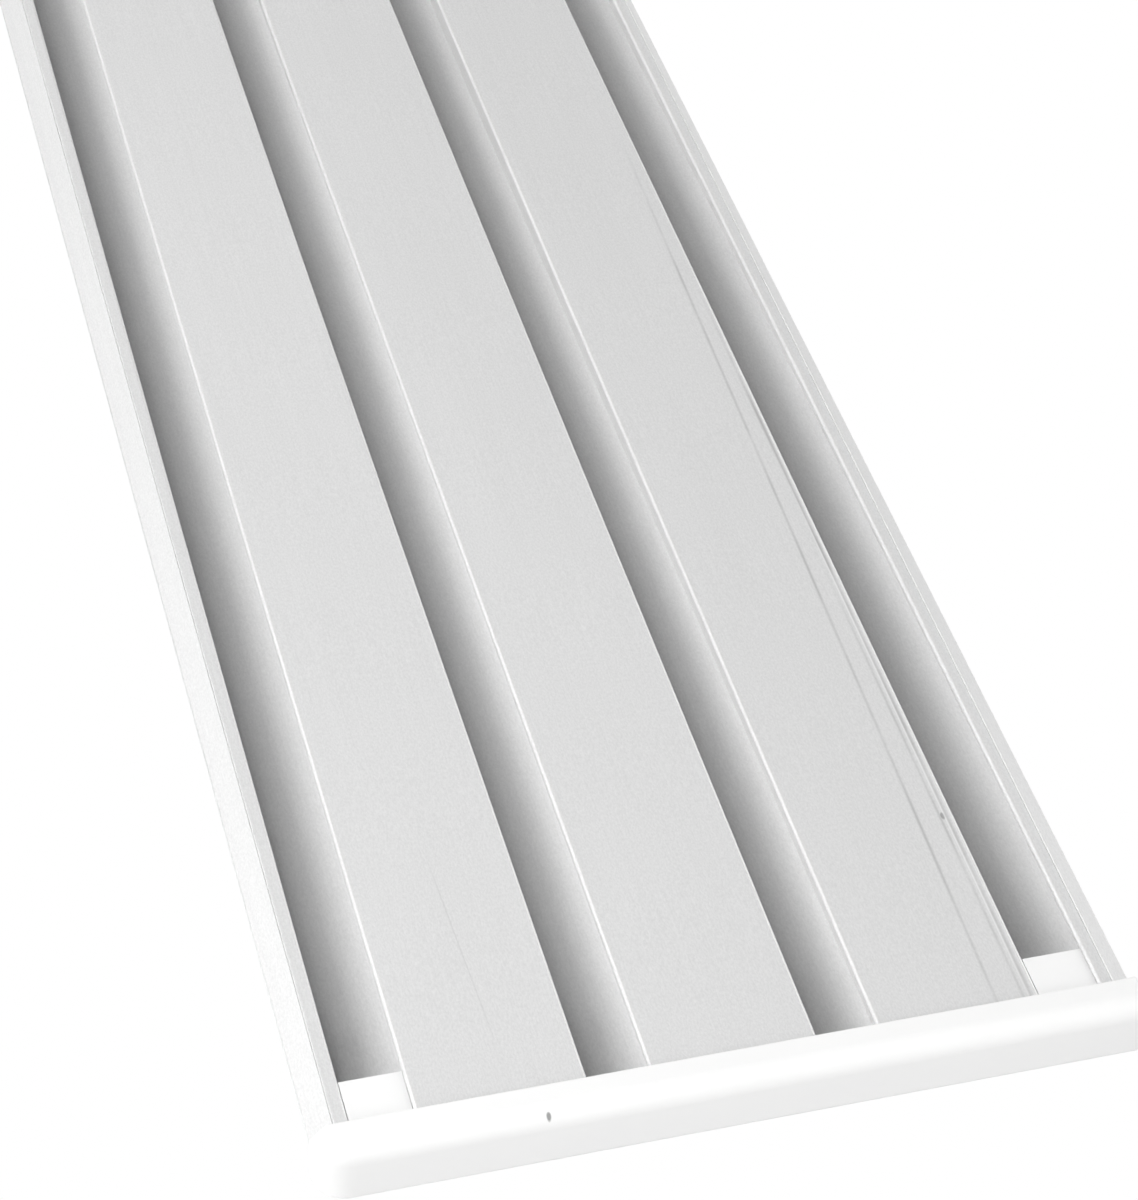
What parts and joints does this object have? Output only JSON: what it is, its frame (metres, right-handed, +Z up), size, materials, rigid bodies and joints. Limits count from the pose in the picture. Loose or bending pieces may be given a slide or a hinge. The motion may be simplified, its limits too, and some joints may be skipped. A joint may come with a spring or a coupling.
{
  "type": "diving board",
  "caption": "Ribbed aluminium springboard plank with closed box ribs, white end nosings, rubber bearing channels and anchor hinges at the butt.",
  "frame": {"origin": "under the middle of the board's length and width, level with the soles of the hinge feet", "axes": "+Z up out of the deck the diver stands on, +Y from the tip to the butt, +X across the board to the right of someone standing at the tip and facing the butt"},
  "size_m": [0.5, 4.88, 0.1395],
  "materials": {
    "plank": "satin extruded aluminium",
    "tread": "gritty non-skid coating",
    "nosing": "satin moulded plastic",
    "rubber": "matt",
    "casting": "fine sand-cast",
    "stainless": "bright turned",
    "nylon": "plain nylon"
  },
  "bodies": {
    "board": {"anchor_bolts": "stainless", "anchor_deck_washers": "stainless", "anchor_locknuts": "stainless", "anchor_nut_washers": "stainless", "anchor_spacer_sleeves": "stainless", "butt_nosing": "nosing", "butt_nosing_screws": "stainless", "centre_box_left_rib": "plank", "centre_box_plate": "plank", "centre_box_right_rib": "plank", "deck_plate": "plank", "left_box_left_rib": "plank", "left_box_plate": "plank", "left_box_right_rib": "plank", "left_edge_rail": "plank", "left_fulcrum_rubber": "rubber", "left_hinge_leaf": "casting", "left_hinge_pin": "stainless", "left_pin_clip": "stainless", "left_pin_washer": "stainless", "left_side_wall": "plank", "right_box_left_rib": "plank", "right_box_plate": "plank", "right_box_right_rib": "plank", "right_edge_rail": "plank", "right_fulcrum_rubber": "rubber", "right_hinge_leaf": "casting", "right_hinge_pin": "stainless", "right_pin_clip": "stainless", "right_pin_washer": "stainless", "right_side_wall": "plank", "tip_nosing": "nosing", "tip_nosing_screws": "stainless", "tread_coating": "tread"},
    "left_foot": {"left_hinge_foot": "casting", "left_hinge_bushes": "nylon"},
    "right_foot": {"right_hinge_foot": "casting", "right_hinge_bushes": "nylon"}
  },
  "joints": [
    {"name": "left_anchor_hinge", "type": "hinge", "parent": "board", "child": "left_foot", "pos_m": [-0.1384, 2.314, 0.044], "axis": [1, 0, 0], "range_deg": [-5, 40]},
    {"name": "right_anchor_hinge", "type": "hinge", "parent": "board", "child": "right_foot", "pos_m": [0.1384, 2.314, 0.044], "axis": [1, 0, 0], "range_deg": [-5, 40]}
  ],
  "couplings": [
    {"joint": "right_anchor_hinge", "follows": "left_anchor_hinge", "ratio": 1}
  ]
}
